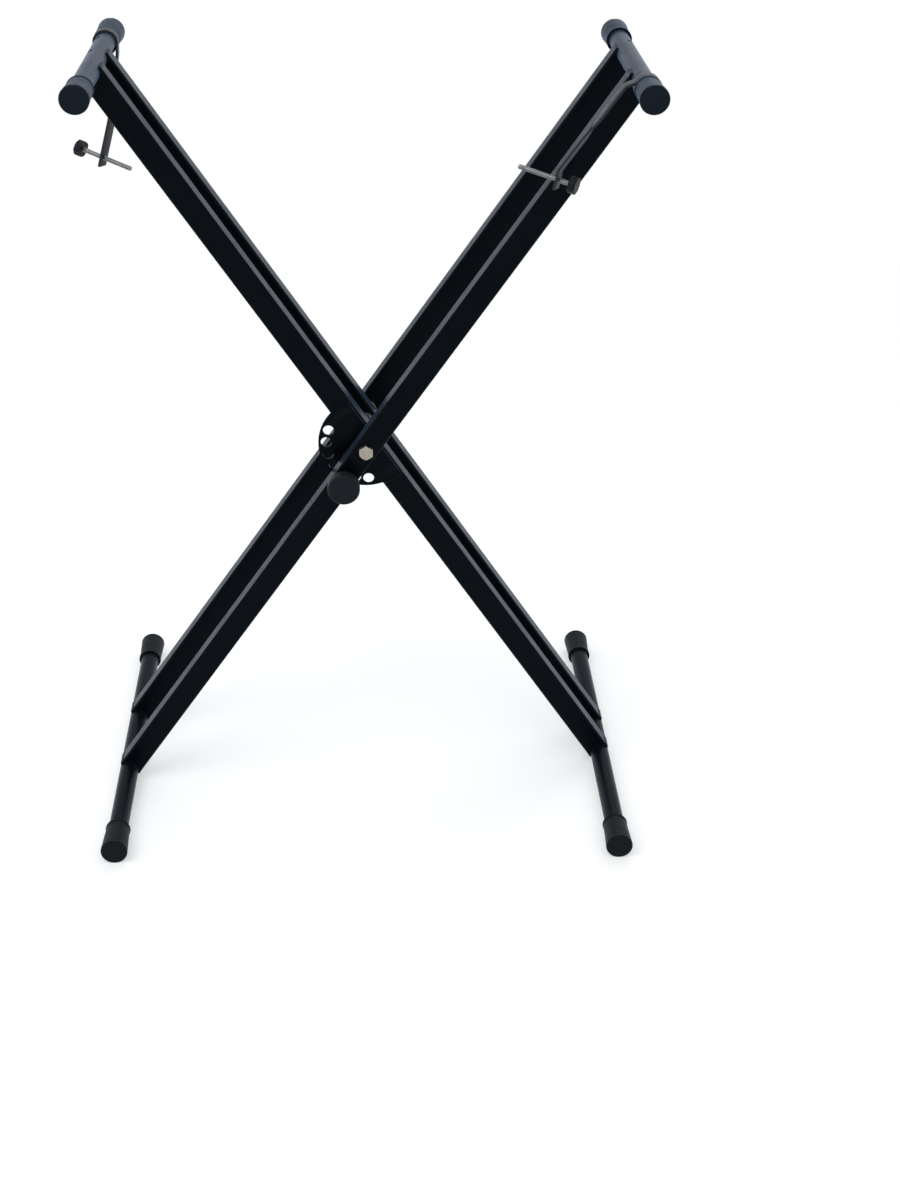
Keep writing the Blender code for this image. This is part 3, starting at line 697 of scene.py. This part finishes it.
def clamp_arm(node, joint, body, half_turn, **form):
    """Strip with rounded edges in place of the plain strap, with the hole for its screw."""
    line, hole = strap_line(**form)
    stand = Matrix.Translation(Vector(joints[joint]["pos_m"])) @ Matrix.Rotation(half_turn, 4, "Z")
    corners = rounded_outline(STRAP_THICKNESS / 2, STRAP_WIDTH / 2, STRAP_ROUND, STRAP_ROUND_STEPS)
    shape = bmesh.new()
    rings = []
    for index, (point, twist) in enumerate(line):
        before = line[max(index - 1, 0)][0]
        after = line[min(index + 1, len(line) - 1)][0]
        along = (after - before).normalized()
        thick = Matrix.Rotation(STRAP_TWIST * twist, 3, along) @ Vector((along.z, 0, -along.x))
        wide = along.cross(thick)
        spots = [stand @ (point + across * thick + over * wide) for across, over in corners]
        rings.append([shape.verts.new(spot) for spot in spots])
    join_rings(shape, rings)
    cap_ends(shape, rings)
    piece = piece_from(shape, node + "_rolled", strap_coat("paint_rolled_" + node), body)
    aim = Vector(joints[joint.replace("arm_swing", "screw_drive")]["axis"])
    drill_hole(piece, stand @ hole, aim, STRAP_HOLE_RADIUS, STRAP_THICKNESS * 4)
    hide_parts(node)


clamp_arm("left_arm", "left_arm_swing", "left_clamp", 0.0, **LEFT_STRAP)
clamp_arm("right_arm", "right_arm_swing", "right_clamp", pi, **RIGHT_STRAP)


def top_bar(node, joint, body, turn, holes):
    """Hollow bar in place of the plain one, with its holes drilled into the hollow."""
    low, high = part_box(node)
    centre = Vector(joints[joint]["pos_m"])
    shape = bmesh.new()
    rings = []
    for radius, along in (
        (BAR_RADIUS, low.y),
        (BAR_RADIUS, high.y),
        (BAR_BORE_RADIUS, high.y),
        (BAR_BORE_RADIUS, low.y),
    ):
        ring = []
        for x, z in circle(radius, BAR_SIDES):
            ring.append(shape.verts.new((centre.x + x, along, centre.z + z)))
        rings.append(ring)
    join_rings(shape, rings, closed=True)
    piece = piece_from(shape, node + "_drilled", top_bar_coat_painted_sheen, body)
    aim = Vector((sin(turn), 0, cos(turn)))
    for along in holes:
        place = Vector((centre.x, along, centre.z)) + aim * BAR_RADIUS
        drill_hole(piece, place, aim, BAR_HOLE_RADIUS, BAR_RADIUS)
    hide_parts(node)


top_bar("inner_top_bar", "left_arm_swing", "inner_frame", -BAR_HOLE_TURN, INNER_BAR_HOLES)
top_bar("outer_top_bar", "right_arm_swing", "outer_frame", BAR_HOLE_TURN, OUTER_BAR_HOLES)


def seen_by_eye_or_gloss(tree):
    """1 for camera, glossy and transmission rays, 0 for the others."""
    rays = tree.nodes.new("ShaderNodeLightPath")
    found = rays.outputs["Is Camera Ray"]
    for kind in ("Is Glossy Ray", "Is Transmission Ray"):
        larger = tree.nodes.new("ShaderNodeMath")
        larger.operation = "MAXIMUM"
        tree.links.new(found, larger.inputs[0])
        tree.links.new(rays.outputs[kind], larger.inputs[1])
        found = larger.outputs[0]
    return found


def pale_floor(name):
    """Pale material that shows shadows near the object and fades to plain white further away."""
    made = bpy.data.materials.new(name)
    made.use_nodes = True
    tree = made.node_tree
    tree.nodes.clear()
    output = tree.nodes.new("ShaderNodeOutputMaterial")
    diffuse = tree.nodes.new("ShaderNodeBsdfDiffuse")
    socket(diffuse, "Color", (FLOOR_COLOUR, FLOOR_COLOUR, FLOOR_COLOUR, 1.0))
    glow = tree.nodes.new("ShaderNodeEmission")
    lift = tree.nodes.new("ShaderNodeMath")
    lift.operation = "MULTIPLY"
    lift.inputs[1].default_value = FLOOR_GLOW
    seen = seen_by_eye_or_gloss(tree)
    tree.links.new(seen, lift.inputs[0])
    tree.links.new(lift.outputs[0], glow.inputs["Strength"])
    near = tree.nodes.new("ShaderNodeAddShader")
    tree.links.new(diffuse.outputs[0], near.inputs[0])
    tree.links.new(glow.outputs[0], near.inputs[1])
    white = tree.nodes.new("ShaderNodeEmission")
    coordinates = tree.nodes.new("ShaderNodeTexCoord")
    away = tree.nodes.new("ShaderNodeVectorMath")
    away.operation = "LENGTH"
    tree.links.new(coordinates.outputs["Object"], away.inputs[0])
    fade = tree.nodes.new("ShaderNodeMapRange")
    socket(fade, "From Min", FADE_START)
    socket(fade, "From Max", FADE_END)
    tree.links.new(away.outputs["Value"], fade.inputs["Value"])
    share = tree.nodes.new("ShaderNodeMath")
    share.operation = "MULTIPLY"
    tree.links.new(fade.outputs["Result"], share.inputs[0])
    tree.links.new(seen, share.inputs[1])
    blend = tree.nodes.new("ShaderNodeMixShader")
    tree.links.new(share.outputs[0], blend.inputs["Fac"])
    tree.links.new(near.outputs[0], blend.inputs[1])
    tree.links.new(white.outputs[0], blend.inputs[2])
    tree.links.new(blend.outputs[0], output.inputs["Surface"])
    return made


shape = bmesh.new()
bmesh.ops.create_grid(shape, x_segments=8, y_segments=8, size=FLOOR_HALF)
floor_mesh = bpy.data.meshes.new("floor")
shape.to_mesh(floor_mesh)
shape.free()
floor_mesh.materials.append(pale_floor("floor_pale"))
floor = bpy.data.objects.new("floor", floor_mesh)
bpy.context.scene.collection.objects.link(floor)


def studio_world(name):
    """World that is white to camera, glossy and transmission rays, and softer as a light."""
    world = bpy.data.worlds.new(name)
    world.use_nodes = True
    tree = world.node_tree
    tree.nodes.clear()
    output = tree.nodes.new("ShaderNodeOutputWorld")
    shown = tree.nodes.new("ShaderNodeBackground")
    socket(shown, "Color", (1.0, 1.0, 1.0, 1.0))
    socket(shown, "Strength", 1.0)
    lit = tree.nodes.new("ShaderNodeBackground")
    socket(lit, "Color", (*SKY_COLOUR, 1.0))
    socket(lit, "Strength", SKY_STRENGTH)
    choose = tree.nodes.new("ShaderNodeMixShader")
    tree.links.new(seen_by_eye_or_gloss(tree), choose.inputs["Fac"])
    tree.links.new(lit.outputs[0], choose.inputs[1])
    tree.links.new(shown.outputs[0], choose.inputs[2])
    tree.links.new(choose.outputs[0], output.inputs["Surface"])
    return world


bpy.context.scene.world = studio_world("studio")


def softbox(name, place, power):
    """Large square light at a place, turned towards the middle of the stand."""
    lamp = bpy.data.lights.new(name, "AREA")
    lamp.shape = "SQUARE"
    lamp.size = LAMP_SIZE
    lamp.energy = power
    light = bpy.data.objects.new(name, lamp)
    light.location = place
    light.rotation_euler = (LAMP_AIM - place).to_track_quat("-Z", "Y").to_euler()
    bpy.context.scene.collection.objects.link(light)


softbox("key", KEY_PLACE, KEY_POWER)
softbox("back", BACK_PLACE, BACK_POWER)

# Camera at the photograph's place
camera_data = bpy.data.cameras.new("camera")
camera_data.sensor_width = SENSOR
camera_data.lens = CAMERA_FOCAL * SENSOR / PHOTO_HEIGHT
camera_data.shift_x = (PHOTO_WIDTH / 2 - CAMERA_CENTRE[0]) / PHOTO_HEIGHT
camera_data.shift_y = (CAMERA_CENTRE[1] - PHOTO_HEIGHT / 2) / PHOTO_HEIGHT
camera_data.clip_end = CAMERA_CLIP_END
camera = bpy.data.objects.new("camera", camera_data)
level_share = cos(CAMERA_PITCH)
forward = Vector((sin(CAMERA_YAW) * level_share, cos(CAMERA_YAW) * level_share, -sin(CAMERA_PITCH)))
level = Vector((cos(CAMERA_YAW), -sin(CAMERA_YAW), 0))
above = level.cross(forward)
right = cos(CAMERA_ROLL) * level + sin(CAMERA_ROLL) * above
up = cos(CAMERA_ROLL) * above - sin(CAMERA_ROLL) * level
turned = Matrix((right, up, -forward)).transposed().to_4x4()
camera.matrix_world = Matrix.Translation(PIVOT + CAMERA_PLACE) @ turned
bpy.context.scene.collection.objects.link(camera)
bpy.context.scene.camera = camera
bpy.context.scene.view_settings.view_transform = "Standard"
